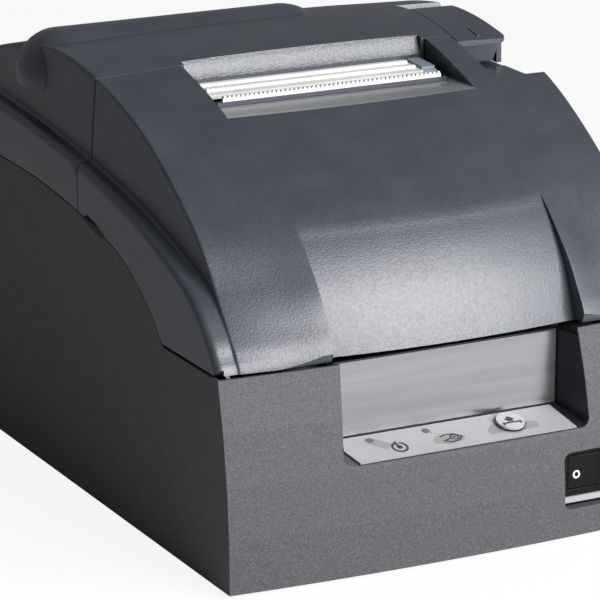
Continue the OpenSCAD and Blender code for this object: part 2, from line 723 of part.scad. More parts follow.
module side_plate_left() color(zinc) place() mirror([1, 0, 0]) {
    side_plate();
    cassette_rests();
}

module side_plate_right() color(zinc) place() {
    side_plate();
    cassette_rests();
}

module carriage_shaft() color(steel) place()
    x_rod(shaft_r, -plate_x - 3, plate_x + 3, shaft_at[0], shaft_at[1]);

module guide_rail() color(steel) place()
    box(-plate_x, plate_x, guide_y[0], guide_y[1], guide_z[0], guide_z[1]);

// ---------- carriage and print head ----------

belt_y = [41, 49];
belt_z = [73.5, 77.5];
belt_t = 1;
head_z = 98;

module carriage() color(dark) place() difference() {
    union() {
        box(-16, 16, 66, 82, 72.4, 85.5);
        box(-9, 9, guide_y[0] - 2.4, 66.5, 78.5, guide_z[0] - fit);
        box(-9, 9, guide_y[0] - 2.4, guide_y[0] - fit, 78.5, rest_z - 0.5);
        box(-9, 9, guide_y[0] - 2.4, guide_y[1] - 1, guide_z[1] + fit, rest_z - 0.5);
        box(-6, 6, belt_y[1] - 0.9, guide_y[0] - 1, 72, 79);
        box(-6, 6, belt_y[1] - 3, belt_y[1] - 0.9, 78.2, 79);
    }
    x_rod(shaft_r + run, -20, 20, shaft_at[0], shaft_at[1]);
    box(-20, 20, belt_y[1] - 0.9, belt_y[1] + 0.9, belt_z[0] - 0.4, belt_z[1] + 0.4);
}

module print_head() color([0.16, 0.16, 0.17]) place() difference() {
    union() {
        translate([0, 60, head_z]) rotate([-90, 0, 0]) cylinder(r = head_r - 1.6, h = 17);
        for (y = [60 : 2.6 : 76]) translate([0, y, head_z]) rotate([-90, 0, 0])
            cylinder(r = head_r, h = 1.2);
        box(-8, 8, 62, 76, 85.5, head_z);
        for (x = [-14.5, 10]) box(x, x + 4.5, 68, 78, 85.5, 88);
        box(-14.5, 14.5, 68, 76, 86.6, 88);
    }
    translate([0, 59, head_z]) rotate([-90, 0, 0]) cylinder(r = 4, h = 3);
}

module head_nose() color([0.5, 0.5, 0.52]) place() {
    hull() {
        translate([0, 77, head_z]) rotate([-90, 0, 0]) cylinder(r = 8, h = 0.6, $fn = 32);
        box(-2.2, 2.2, 88, 88.4, print_z[0] + 1, print_z[1] - 2);
    }
    box(-2.2, 2.2, 88.2, 90.8, print_z[0] + 1, print_z[1] - 2);
}

// Flat cable that folds back under the carriage
cable_y = [77, 81.6];
cable_x = 42;
module head_cable() color([0.85, 0.85, 0.8]) place()
    translate([0, cable_y[1], 66.2]) rotate([90, 0, 0]) linear_extrude(cable_y[1] - cable_y[0])
        difference() {
            union() {
                translate([-cable_x, 0]) circle(6);
                translate([-cable_x, -6]) square([cable_x + 14, 12]);
            }
            translate([-cable_x, 0]) circle(5.6);
            translate([-cable_x, -5.6]) square([cable_x + 20, 11.2]);
        }

// ---------- belt drive ----------

belt_mid = (belt_y[0] + belt_y[1]) / 2;
pulley_r = (belt_y[1] - belt_y[0]) / 2 - belt_t / 2;
drive_x = 48;
idler_x = -57;
drive_motor_r = 14;

module carriage_motor() color(zinc) place() translate([drive_x, belt_mid, 0]) {
    translate([0, 0, base_z + plate_t]) cylinder(r = drive_motor_r, h = 23);
    translate([0, 0, base_z + plate_t + 23]) cylinder(r = 5, h = 1.2);
    translate([0, 0, base_z + plate_t + 23]) cylinder(r = 1.2, h = 12);
}

module belt_pulley(bore) difference() {
    union() {
        translate([0, 0, belt_z[0]]) cylinder(r = pulley_r, h = belt_z[1] - belt_z[0]);
        for (z = [belt_z[0] - 1, belt_z[1]]) translate([0, 0, z])
            cylinder(r = pulley_r + 1.1, h = 1);
    }
    translate([0, 0, belt_z[0] - 2]) cylinder(r = bore, h = 9);
    for (a = [0 : 90 : 270]) rotate([0, 0, a]) translate([2.4, 0, belt_z[1] + 0.4])
        cylinder(r = 0.5, h = 2);
}

module drive_pulley() color(brass) place() translate([drive_x, belt_mid, 0]) belt_pulley(1.2 + run);
module idler_pulley() color(white) place() translate([idler_x, belt_mid, 0]) belt_pulley(1.2 + run);

module idler_post() color(steel) place() translate([idler_x, belt_mid, base_z + plate_t]) {
    cylinder(r = 3, h = belt_z[0] - 1.2 - base_z - plate_t);
    cylinder(r = 1.2, h = belt_z[1] + 2.4 - base_z - plate_t);
}

module timing_belt() color(dark) place() translate([0, belt_mid, belt_z[0] + 0.2])
    linear_extrude(belt_z[1] - belt_z[0] - 0.4) difference() {
        union() {
            for (x = [idler_x, drive_x]) translate([x, 0]) circle(pulley_r + belt_t);
            translate([idler_x, -pulley_r - belt_t])
                square([drive_x - idler_x, 2 * (pulley_r + belt_t)]);
        }
        for (x = [idler_x, drive_x]) translate([x, 0]) circle(pulley_r + 0.1);
        translate([idler_x, -pulley_r - 0.1]) square([drive_x - idler_x, 2 * pulley_r + 0.2]);
    }

// ---------- platen and paper feed ----------

module platen() color(zinc) place()
    box(-plate_x, plate_x, platen_y + 1.2, platen_y + 6, print_z[0], print_z[1] - 2);

module platen_pad() color(dark) place()
    box(-40.5, 40.5, platen_y, platen_y + 1.2, print_z[0] + 0.4, print_z[1] - 2.4);

module feed_roller() color(dark) place() {
    x_rod(3, -plate_x - 9, plate_x + 2.4, feed_at[0], feed_at[1]);
    for (x = [-38, -18, 2, 22]) x_rod(feed_r, x, x + 16, feed_at[0], feed_at[1]);
}

module pinch_rollers() color([0.35, 0.35, 0.36]) place() {
    x_rod(1.5, -plate_x - 2, plate_x + 2, pinch_at[0], pinch_at[1]);
    for (x = [-36, -16, 4, 24]) x_rod(4.4, x, x + 12, pinch_at[0], pinch_at[1]);
}

// A spur gear with its axis along z: trapezoid teeth, cut thin so that the pair runs free
module gear(teeth, thick, bore, turn) {
    r = gear_m * teeth / 2;
    step = 360 / teeth;
    difference() {
        rotate([0, 0, turn]) linear_extrude(thick) polygon([for (i = [0 : teeth - 1])
            for (p = [[-0.31, -1.05], [-0.15, 0.75], [0.15, 0.75], [0.31, -1.05]])
                let (a = (i + p[0]) * step, d = r + gear_m * p[1]) [d * cos(a), d * sin(a)]]);
        translate([0, 0, -1]) cylinder(r = bore, h = thick + 2);
    }
}

gear_x = -plate_x - plate_t - 5.4;

// Sets a gear drawn on z at [y, z], with its plane across x
module across(x, at) translate([x, at[0], at[1]]) rotate([90, 0, 90]) children();

module feed_gear() color(white) place() across(gear_x, feed_at) difference() {
    gear(feed_teeth, 4, 3 + run, train_turn);
    for (a = [0 : 60 : 300]) rotate([0, 0, a]) translate([8, 0, -1]) cylinder(r = 2, h = 6);
}

module motor_pinion() color(brass) place() across(gear_x, motor_at)
    gear(pinion_teeth, 4, 1.2 + run, train_turn);

module idler_gear() color(white) place() across(gear_x, idler_at)
    gear(idler_teeth, 4, 2 + run, train_turn + 180 + 180 / idler_teeth);

module idler_stud() color(steel) place() {
    x_rod(2, gear_x - 1, -plate_x - plate_t, idler_at[0], idler_at[1]);
    x_rod(3.2, gear_x - 2, gear_x - 0.4, idler_at[0], idler_at[1]);
}

module feed_motor() color(zinc) place() {
    x_rod(11.4, -plate_x, -plate_x + 19, motor_at[0], motor_at[1]);
    x_rod(5, -plate_x - plate_t, -plate_x, motor_at[0], motor_at[1]);
    x_rod(1.2, gear_x - 0.6, -plate_x, motor_at[0], motor_at[1]);
}

// Curved sheet that turns the paper up under the feed roller
guide_t = 1;
module lower_guide() color(zinc) place() side_prism(-plate_x, plate_x) {
    intersection() {
        translate(feed_at) difference() {
            circle(feed_r + 2 + guide_t);
            circle(feed_r + 2);
        }
        translate(feed_at) polygon([[0, 0], [-9, -20], [0, -20]]);
    }
    translate([feed_at[0] - 0.1, feed_at[1] - feed_r - 2 - guide_t])
        square([base_y[1] - feed_at[0], guide_t]);
}

// The two sheets that lead the paper from the platen up to the tear bar
chute_z = 107;
lip_x = slot_x - 0.5;
module chute_ends(y0, y1) both() box(56, plate_x, y0, y1, chute_z, chute_z + 6);

module front_chute() color([0.28, 0.32, 0.42]) place() {
    box(-lip_x, lip_x, platen_y - 3, platen_y - 1.4, chute_z, bar_top - 1.7);
    box(-57, 57, platen_y - 3, platen_y - 1.4, chute_z, chute_z + 6);
    chute_ends(platen_y - 3, platen_y - 1.4);
}

module rear_chute() color(zinc) place() {
    box(-lip_x, lip_x, platen_y + 1.2, platen_y + 2.2, chute_z - 3, 123.2);
    box(-57, 57, platen_y + 1.2, platen_y + 2.2, chute_z - 3, chute_z + 6);
    chute_ends(platen_y + 1.2, platen_y + 2.2);
    both() box(plate_x - 8, plate_x, platen_y + 1.2, platen_y + 8, chute_z + 3, chute_z + 4);
}

// Serrated bar: a strip with pointed teeth along its top edge
tooth_h = 0.95;
bar_top = 126.4;
module tear_bar() color(white) place() translate([0, platen_y - 1.3, 0]) rotate([90, 0, 0])
    linear_extrude(1.2) {
        half = tooth_count * tooth_pitch / 2;
        polygon(concat(
            [[-half, bar_top - tooth_h]],
            [for (i = [0 : tooth_count - 1]) each [
                [-half + (i + 0.3) * tooth_pitch, bar_top],
                [-half + (i + 0.7) * tooth_pitch, bar_top],
                [-half + (i + 1) * tooth_pitch, bar_top - tooth_h]]],
            [[half, bar_top - 1.7], [-half, bar_top - 1.7]]));
    }

// ---------- ribbon cassette ----------

cassette_x = plate_x - 4;
cassette_arm_x = 45;
spindle_at = [-54, 83];
ribbon_y = 91.2;
module cassette_side(t) polygon([[42 + t, rest_z + t], [42 + t, 93], [52 + t, 102 - t],
    [60, 105 - t], [90.8 - t, 105 - t], [90.8 - t, rest_z + t]]);

module ribbon_cassette() color([0.13, 0.13, 0.14]) place() difference() {
    side_prism(-cassette_x, cassette_x) cassette_side(0);
    box(-cassette_arm_x, cassette_arm_x, 57.4, 95, 80, 110);
    both() side_prism(cassette_arm_x + 1.4, cassette_x - 1.4) intersection() {
        cassette_side(1.4);
        translate([57, 80]) square([50, 40]);
    }
    both() box(cassette_arm_x + 3, cassette_x - 3, 88, 92, print_z[0], print_z[1] - 0.8);
    translate([spindle_at[0], spindle_at[1], 100]) cylinder(r = 3.4, h = 8);
    translate([spindle_at[0], spindle_at[1], 80]) cylinder(r = 4.2, h = 10);
    box(-56, 56, 53.4, 59, 90, 100);
}

module ribbon() color([0.09, 0.07, 0.12]) place()
    box(-57, 57, ribbon_y, ribbon_y + 0.25, print_z[0] + 0.2, print_z[1] - 1);

module ribbon_spindle() color(white) place() translate([spindle_at[0], spindle_at[1], 0]) {
    translate([0, 0, rest_z - 7]) cylinder(r = 4.4, h = 2);
    translate([0, 0, rest_z - 9]) cylinder(r = 2.6, h = 26.4);
    translate([0, 0, base_z + plate_t]) cylinder(r = 2, h = 34);
}

module ribbon_knob() color([0.20, 0.20, 0.22]) place()
    translate([spindle_at[0], spindle_at[1], 105.4]) {
        cylinder(r = 6.4, h = 1.4);
        linear_extrude(5) polygon([for (i = [0 : 23]) let (r = i % 2 == 0 ? 5.6 : 4.9)
            [r * cos(15 * i), r * sin(15 * i)]]);
    }

// ---------- paper bay ----------

bay_at = [case_rear - 72, 85];
cheek_t = 2.4;
tray_t = 2.4;
feeler_at = [bay_at[0] + 20, 56];           // [y, z] of the feeler's nub
feeler_pivot = [-bay_w / 2 - 5.1, bay_at[0] - 4];
feeler_z = [50.2, 61.8];
tray_leg_y = [bay_at[0] - 26, bay_at[0] + 26];
module roll_tray() color(graphite) place() difference() {
    union() {
        side_prism(-bay_w / 2 - cheek_t, bay_w / 2 + cheek_t) difference() {
            translate(bay_at) circle(bay_r + tray_t, $fn = 128);
            translate(bay_at) circle(bay_r, $fn = 128);
            translate([100, 72]) square([160, 80]);
        }
        both() side_prism(bay_w / 2, bay_w / 2 + cheek_t) intersection() {
            translate(bay_at) circle(bay_r + tray_t, $fn = 128);
            translate([100, 30]) square([160, 58]);
        }
        both() for (y = tray_leg_y) box(30, 38, y - 3, y + 3, 2.5, 56);
        box(-bay_w / 2, bay_w / 2, bay_at[0] - 48.8, bay_at[0] - 42, 70.4, 72);
        for (z = [feeler_z[0] - 2.6, feeler_z[1] + 0.2])
            box(feeler_pivot[0] - 3, -bay_w / 2 - 1, feeler_pivot[1] - 4, feeler_pivot[1] + 4,
                z, z + 2.4);
    }
    side_prism(-bay_w / 2, bay_w / 2) translate(bay_at) circle(bay_r, $fn = 128);
    side_prism(-bay_w / 2 - 5, -bay_w / 2 + 5) translate(feeler_at) circle(4.6);
    translate([feeler_pivot[0], feeler_pivot[1], 40]) cylinder(r = 1.2 + run, h = 30);
}

// Feeler that swings in when the roll runs low
module near_end_lever() color(dark) place() {
    translate([feeler_pivot[0], feeler_pivot[1], feeler_z[0]])
        cylinder(r = 2.4, h = feeler_z[1] - feeler_z[0]);
    translate([feeler_pivot[0], feeler_pivot[1], feeler_z[0] - 2.4])
        cylinder(r = 1.2, h = feeler_z[1] - feeler_z[0] + 4.8);
    box(feeler_pivot[0] - 1.2, feeler_pivot[0] + 1, feeler_pivot[1], feeler_at[0] + 4,
        feeler_z[0] + 0.8, feeler_z[1] - 0.8);
    x_rod(3.6, feeler_pivot[0] + 0.8, -bay_w / 2 + 2, feeler_at[0], feeler_at[1]);
}

// ---------- electronics and rear connectors ----------

board_y = [44, case_rear - 22];
board_z = 10;
standoff_r = 2.4;
module main_board() color(board_green) place() difference() {
    union() {
        box(-63, 63, board_y[0], board_y[1], board_z, board_z + 1.6);
        for (x = [-50, 50], y = [board_y[0] + 12, board_y[1] - 12]) translate([x, y, 2.5])
            cylinder(r = standoff_r, h = board_z - 2.5);
        for (y = [60, 74, 88]) translate([52, y, board_z + 1.6]) cylinder(r = 5, h = 14);
        box(-14, 14, 70, 98, board_z + 1.6, board_z + 4);
        box(-52, -30, 66, 76, board_z + 1.6, board_z + 3.6);
        box(-20, 20, 47, 52, board_z + 1.6, board_z + 8);
    }
    for (x = mech_post_at) translate([x[0], x[1], 0]) cylinder(r = post_r + 1, h = 20);
    both() for (y = tray_leg_y) box(29, 39, y - 4, y + 4, 0, 20);
}

module interface_panel() color(zinc) place() difference() {
    box(panel_x[0] + fit, panel_x[1] - fit, case_rear - wall, case_rear - wall + 1.2,
        panel_z[0] + fit, panel_z[1] - fit);
    box(-50, 0, case_rear - 8, case_rear + 2, 20, 32);
}

module data_connector() color(steel) place() difference() {
    union() {
        box(-49.8, -0.2, case_rear - 16, case_rear - 0.4, 20.2, 31.8);
        box(-55, 5, case_rear - wall - 2, case_rear - wall - 0.1, 18, 34);
    }
    box(-46, -4, case_rear - 5, case_rear + 1, 22.4, 29.6);
}

module power_inlet() color(dark) place() translate([inlet_at[0], 0, inlet_at[1]]) difference() {
    union() {
        translate([0, case_rear - 10, 0]) rotate([-90, 0, 0]) cylinder(r = 7.8, h = 9.4);
        box(-9, 9, case_rear - 18, case_rear - wall - 0.1, -10, 9);
    }
    translate([0, case_rear - 8, 0]) rotate([-90, 0, 0]) cylinder(r = 5.6, h = 10);
}

module drawer_jack() color(dark) place() difference() {
    box(jack_x[0], jack_x[1], case_rear - 18, case_rear - 0.4, jack_z[0], jack_z[1]);
    box(jack_x[0] + 1.4, jack_x[1] - 1.4, case_rear - 11, case_rear + 1, jack_z[0] + 2, jack_z[1] - 2);
}

case();
bottom_plate();
feet();
case_screws();
recess_plate();
control_label();
status_leds();
feed_button();
panel_board();
switch_bezel();
switch_strip();
power_rocker();
mech_base();
mech_posts();
side_plate_left();
side_plate_right();
carriage_shaft();
guide_rail();
carriage();
print_head();
head_nose();
head_cable();
carriage_motor();
drive_pulley();
idler_post();
idler_pulley();
timing_belt();
platen();
platen_pad();
feed_roller();
feed_gear();
pinch_rollers();
feed_motor();
motor_pinion();
idler_gear();
idler_stud();
lower_guide();
front_chute();
rear_chute();
tear_bar();
ribbon_cassette();
ribbon();
ribbon_spindle();
ribbon_knob();
roll_tray();
near_end_lever();
main_board();
interface_panel();
data_connector();
power_inlet();
drawer_jack();
front_cover();
front_hinge_pins();
roll_cover();
roll_hinge_pins();
exit_guide();
cover_lever();
lever_pin();
lever_spring();
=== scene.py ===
import bpy, bmesh, math, json
from mathutils import Vector, Matrix
from mathutils.bvhtree import BVHTree
from mathutils.geometry import barycentric_transform


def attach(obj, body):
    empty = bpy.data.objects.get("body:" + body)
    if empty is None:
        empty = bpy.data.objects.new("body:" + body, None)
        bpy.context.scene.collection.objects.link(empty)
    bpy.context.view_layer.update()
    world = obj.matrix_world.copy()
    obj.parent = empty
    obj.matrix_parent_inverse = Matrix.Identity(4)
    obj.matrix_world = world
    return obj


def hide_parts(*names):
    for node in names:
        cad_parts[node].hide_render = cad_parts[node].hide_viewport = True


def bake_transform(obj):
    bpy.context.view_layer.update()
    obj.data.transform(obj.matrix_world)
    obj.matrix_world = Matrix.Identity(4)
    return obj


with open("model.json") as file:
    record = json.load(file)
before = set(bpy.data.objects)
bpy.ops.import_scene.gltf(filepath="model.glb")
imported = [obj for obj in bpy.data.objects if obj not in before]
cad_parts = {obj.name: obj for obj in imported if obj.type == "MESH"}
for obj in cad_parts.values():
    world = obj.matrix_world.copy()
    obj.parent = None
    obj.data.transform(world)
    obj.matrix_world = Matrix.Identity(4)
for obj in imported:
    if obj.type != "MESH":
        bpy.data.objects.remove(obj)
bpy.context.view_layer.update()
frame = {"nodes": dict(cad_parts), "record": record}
N = frame["nodes"]
scene = bpy.context.scene


HALF_DEPTH, FOOT = 124, 1      # from the case's own millimetres to the row frame
SHARP = math.radians(32)       # edges that bend more than this stay sharp
WELD = 2e-6                    # corners closer than this are one corner

# The covers' loft, in the case's own millimetres: heights of its rim and of the seam with the
# case, half widths of the crest and of the skirt, and the radius of the shoulder
RIM, SEAM = 55, 63.8
CREST, SKIRT, SHOULDER = 72.4, 80, 2.6


def mm(x, y, z):
    """A point drawn in the case's own millimetres, as a point of the row frame."""
    return Vector((x / 1000, (y - HALF_DEPTH) / 1000, (z + FOOT) / 1000))


# ---------------------------------------------------------------- camera

YAW, PITCH, ROLL = math.radians(27.649), math.radians(16.717), math.radians(0.17)
LENS, SENSOR = 217.45, 36
CAMERA_AT = (-0.520055, -1.004197, 0.387731)

look = Vector((math.sin(YAW) * math.cos(PITCH), math.cos(YAW) * math.cos(PITCH), -math.sin(PITCH)))
right = Vector((math.cos(YAW), -math.sin(YAW), 0))
up = right.cross(look)
right, up = (right * math.cos(ROLL) + up * math.sin(ROLL),
             up * math.cos(ROLL) - right * math.sin(ROLL))
cam_data = bpy.data.cameras.new("camera")
cam_data.lens, cam_data.sensor_width, cam_data.sensor_fit = LENS, SENSOR, "HORIZONTAL"
cam_data.clip_start, cam_data.clip_end = 0.05, 20
cam = bpy.data.objects.new("camera", cam_data)
scene.collection.objects.link(cam)
m = Matrix((right, up, -look)).transposed().to_4x4()
m.translation = Vector(CAMERA_AT)
cam.matrix_world = m
scene.camera = cam

# ---------------------------------------------------------------- light and floor

scene.view_settings.view_transform = "Standard"


def white_for(nodes, links, glossy):
    """1 for camera rays and through glass, and the given share for reflections."""
    path = nodes.new("ShaderNodeLightPath")
    mirror = nodes.new("ShaderNodeMath")
    mirror.operation = "MULTIPLY_ADD"
    mirror.inputs[1].default_value = glossy
    links.new(path.outputs["Is Glossy Ray"], mirror.inputs[0])
    links.new(path.outputs["Is Camera Ray"], mirror.inputs[2])
    total = nodes.new("ShaderNodeMath")
    total.operation, total.use_clamp = "ADD", True
    links.new(mirror.outputs[0], total.inputs[0])
    links.new(path.outputs["Is Transmission Ray"], total.inputs[1])
    return total.outputs[0]


world = bpy.data.worlds.new("world")
scene.world = world
world.use_nodes = True
wn, wl = world.node_tree.nodes, world.node_tree.links
wn.clear()
out = wn.new("ShaderNodeOutputWorld")
bright, ambient = wn.new("ShaderNodeBackground"), wn.new("ShaderNodeBackground")
bright.inputs["Color"].default_value = (1, 1, 1, 1)
ambient.inputs["Color"].default_value = (0.92, 0.96, 1.0, 1)
ambient.inputs["Strength"].default_value = 0.15
pick = wn.new("ShaderNodeMixShader")
wl.new(white_for(wn, wl, 0.12), pick.inputs[0])
wl.new(ambient.outputs[0], pick.inputs[1])
wl.new(bright.outputs[0], pick.inputs[2])
wl.new(pick.outputs[0], out.inputs[0])


SOFTBOX_AT, SOFTBOX_AIM = Vector((0.44, -1.04, 0.60)), Vector((0, -0.02, 0.07))
softbox_data = bpy.data.lights.new("softbox", "AREA")
softbox_data.shape, softbox_data.energy = "RECTANGLE", 38.0
softbox_data.size, softbox_data.size_y = 0.86, 1.0
softbox = bpy.data.objects.new("softbox", softbox_data)
scene.collection.objects.link(softbox)
softbox.location = SOFTBOX_AT
softbox.rotation_euler = (SOFTBOX_AIM - SOFTBOX_AT).to_track_quat("-Z", "Y").to_euler()

floor_mesh = bpy.data.meshes.new("floor")
floor_mesh.from_pydata([(-6, -6, 0), (6, -6, 0), (6, 6, 0), (-6, 6, 0)], [], [(0, 1, 2, 3)])
floor = bpy.data.objects.new("floor", floor_mesh)
scene.collection.objects.link(floor)
fm = bpy.data.materials.new("floor_paper")
fm.use_nodes = True
fn, fl = fm.node_tree.nodes, fm.node_tree.links
paper = fn["Principled BSDF"]
paper.inputs["Base Color"].default_value = (0.7, 0.7, 0.7, 1)
paper.inputs["Roughness"].default_value = 0.9
paper.inputs["Specular IOR Level"].default_value = 0.1
glow = fn.new("ShaderNodeEmission")
seen = fn.new("ShaderNodeMath")
seen.operation = "MULTIPLY"
seen.inputs[1].default_value = 0.9
fl.new(white_for(fn, fl, 0.06), seen.inputs[0])
pick = fn.new("ShaderNodeMixShader")
fl.new(seen.outputs[0], pick.inputs[0])
fl.new(paper.outputs[0], pick.inputs[1])
fl.new(glow.outputs[0], pick.inputs[2])
fl.new(pick.outputs[0], fn["Material Output"].inputs["Surface"])
floor_mesh.materials.append(fm)

# ---------------------------------------------------------------- materials


def srgb(r, g, b):
    def lin(c):
        c /= 255
        return c / 12.92 if c <= 0.04045 else ((c + 0.055) / 1.055) ** 2.4
    return (lin(r), lin(g), lin(b))


class Mat:
    """A procedural material, built up by small calls."""

    def __init__(self, name, color, rough=0.5, metal=0.0, spec=0.5, edge=0.0):
        self.m = bpy.data.materials.new(name)
        self.m.use_nodes = True
        self.n, self.l = self.m.node_tree.nodes, self.m.node_tree.links
        self.b = self.n["Principled BSDF"]
        self.b.inputs["Base Color"].default_value = (*color, 1)
        self.b.inputs["Roughness"].default_value = rough
        self.b.inputs["Metallic"].default_value = metal
        self.b.inputs["Specular IOR Level"].default_value = spec
        self.coord = self.n.new("ShaderNodeTexCoord").outputs["Object"]
        self.color = self.normal = None
        if edge:                                  # moulded edges are a little round
            soft = self.n.new("ShaderNodeBevel")
            soft.samples = 6
            soft.inputs["Radius"].default_value = edge
            self.normal = soft.outputs[0]
            self.l.new(self.normal, self.b.inputs["Normal"])

    def noise(self, scale, detail=2, rough=0.5, stretch=None):
        t = self.n.new("ShaderNodeTexNoise")
        t.inputs["Scale"].default_value = scale
        t.inputs["Detail"].default_value = detail
        t.inputs["Roughness"].default_value = rough
        c = self.coord
        if stretch:
            s = self.n.new("ShaderNodeMapping")
            s.inputs["Scale"].default_value = stretch
            self.l.new(c, s.inputs["Vector"])
            c = s.outputs[0]
        self.l.new(c, t.inputs["Vector"])
        return t.outputs["Fac"]

    def cells(self, scale, feature="F1"):
        t = self.n.new("ShaderNodeTexVoronoi")
        t.feature = feature
        t.inputs["Scale"].default_value = scale
        self.l.new(self.coord, t.inputs["Vector"])
        return t.outputs["Distance"]

    def axes(self):
        """Place on the object, in the case's own millimetres."""
        s = self.n.new("ShaderNodeSeparateXYZ")
        self.l.new(self.coord, s.inputs[0])
        return (self.math("MULTIPLY", s.outputs[0], 1000),
                self.math("MULTIPLY_ADD", s.outputs[1], 1000, HALF_DEPTH),
                self.math("MULTIPLY_ADD", s.outputs[2], 1000, -FOOT))

    def math(self, op, *values):
        t = self.n.new("ShaderNodeMath")
        t.operation = op
        for i, v in enumerate(values):
            if isinstance(v, (int, float)):
                t.inputs[i].default_value = v
            else:
                self.l.new(v, t.inputs[i])
        return t.outputs[0]

    def both(self, *parts):
        """1 where every part is 1."""
        total = parts[0]
        for p in parts[1:]:
            total = self.math("MULTIPLY", total, p)
        return total

    def between(self, value, lo, hi):
        """1 where the value is over lo and under hi."""
        return self.both(self.math("GREATER_THAN", value, lo), self.math("LESS_THAN", value, hi))

    def within(self, x, half):
        """1 where x is nearer to the middle than half."""
        return self.math("LESS_THAN", self.math("ABSOLUTE", x), half)

    def span(self, fac, lo, hi, a, b):
        r = self.n.new("ShaderNodeMapRange")
        r.inputs["From Min"].default_value, r.inputs["From Max"].default_value = lo, hi
        r.inputs["To Min"].default_value, r.inputs["To Max"].default_value = a, b
        self.l.new(fac, r.inputs["Value"])
        return r.outputs[0]

    def mix(self, fac, a, b):
        """A colour between a and b. Either is a colour or another node's output."""
        t = self.n.new("ShaderNodeMix")
        t.data_type = "RGBA"
        self.l.new(fac, t.inputs["Factor"])
        for k, v in (("A", a), ("B", b)):
            if isinstance(v, tuple):
                t.inputs[k].default_value = (*v, 1)
            else:
                self.l.new(v, t.inputs[k])
        return t.outputs["Result"]

    def base(self, color):
        self.color = color
        self.l.new(color, self.b.inputs["Base Color"])
        return self

    def tint(self, fac, dark, light, lo=0.35, hi=0.65):
        """Base colour between two tones."""
        return self.base(self.mix(self.span(fac, lo, hi, 0, 1), dark, light))

    def gloss(self, fac, a, b, lo=0.3, hi=0.7):
        self.rough = self.span(fac, lo, hi, a, b)
        self.l.new(self.rough, self.b.inputs["Roughness"])
        return self

    def bump(self, fac, depth, strength=1.0):
        p = self.n.new("ShaderNodeBump")
        p.inputs["Distance"].default_value = depth
        if isinstance(strength, float):
            p.inputs["Strength"].default_value = strength
        else:
            self.l.new(strength, p.inputs["Strength"])
        self.l.new(fac, p.inputs["Height"])
        if self.normal:
            self.l.new(self.normal, p.inputs["Normal"])
        self.normal = p.outputs[0]
        self.l.new(self.normal, self.b.inputs["Normal"])
        return self


# Places whose material differs, in the case's own millimetres
FRONT_LEAN, FRONT_BOW = 8.5, 3.44       # how far the case's front lies back at the seam and at its sides
RECESS_HALF, RECESS_Z, RECESS_DEPTH = 45.5, (32.5, 63.9), (0.45, 26.0)
SHELF_HALF, SHELF_Y, SHELF_Z = 43.5, (74.0, 92.0), (123.1, 123.5)
MOUTH_HALF, MOUTH_Y, MOUTH_FLOOR = 42.3, (109.0, 118.0), 122.0
GUIDE_BLOCK_X = 35.8


def case_plastic(name="case_plastic", recess=False):
    """Grey moulding with a fine sparkle. The recess in its front is smooth and darker."""
    c = Mat(name, srgb(70, 71, 74), 0.55, spec=0.3, edge=0.0004)
    grain = c.noise(2100, 2, 0.6)
    c.tint(c.noise(1900, 1, 0.5), srgb(57, 58, 61), srgb(76, 77, 80), 0.38, 0.72)
    if not recess:
        return c.gloss(grain, 0.5, 0.68).bump(grain, 0.0002, 0.5).m
    x, y, z = c.axes()
    lean = c.math("MULTIPLY", c.math("POWER", c.math("DIVIDE", z, SEAM), 2.0), FRONT_LEAN)
    aside = c.math("DIVIDE", c.math("ABSOLUTE", x), SKIRT)
    bow = c.math("MULTIPLY", c.math("POWER", aside, 2.0), FRONT_BOW)
    depth = c.math("SUBTRACT", c.math("SUBTRACT", y, lean), bow)
    inside = c.both(c.between(depth, *RECESS_DEPTH), c.within(x, RECESS_HALF), c.between(z, *RECESS_Z))
    c.base(c.mix(inside, c.color, c.mix(c.noise(120, 2), srgb(24, 25, 29), srgb(30, 31, 36))))
    c.gloss(grain, 0.5, 0.68)
    c.l.new(c.math("MULTIPLY_ADD", inside, -0.2, c.rough), c.b.inputs["Roughness"])
    return c.bump(grain, 0.0002, c.math("MULTIPLY_ADD", inside, -0.4, 0.5)).m


def cover_plastic():
    """Blue-grey moulding with a fine grain. The shelf before the paper mouth is paler, the mouth rougher."""
    c = Mat("cover_plastic", srgb(47, 51, 60), 0.36, spec=0.6)
    grain = c.cells(1700, "SMOOTH_F1")
    c.tint(c.noise(70, 3), srgb(44, 48, 56), srgb(50, 54, 63))
    x, y, z = c.axes()
    shelf = c.both(c.within(x, SHELF_HALF), c.between(z, *SHELF_Z), c.between(y, *SHELF_Y))
    pale = c.mix(c.span(x, -44, 40, 0, 1), srgb(120, 121, 120), srgb(84, 86, 90))
    c.base(c.mix(shelf, c.color, pale))
    c.gloss(c.noise(900, 2), 0.32, 0.4)
    mouth = c.both(c.within(x, MOUTH_HALF), c.between(y, *MOUTH_Y),
                   c.math("GREATER_THAN", z, MOUTH_FLOOR))
    c.bump(c.noise(1800, 1), 0.0002, c.math("MULTIPLY", mouth, 0.5))
    return c.bump(grain, 0.0001, 0.35).bump(c.noise(2600, 1), 0.00005, 0.3).m


def plain(name, rgb, rough, spread=0.06, grain=1800, depth=0.00005, metal=0.0, spec=0.5, vary=0.08,
          edge=0.0):
    """One tone that varies a little, with a fine grain."""
    c = Mat(name, srgb(*rgb), rough, metal, spec, edge)
    lo = tuple(v * (1 - vary) for v in srgb(*rgb))
    hi = tuple(min(1, v * (1 + vary)) for v in srgb(*rgb))
    c.tint(c.noise(90, 3), lo, hi)
    c.gloss(c.noise(grain / 3, 2), max(0.02, rough - spread), rough + spread)
    return c.bump(c.noise(grain, 2), depth, 0.4).m


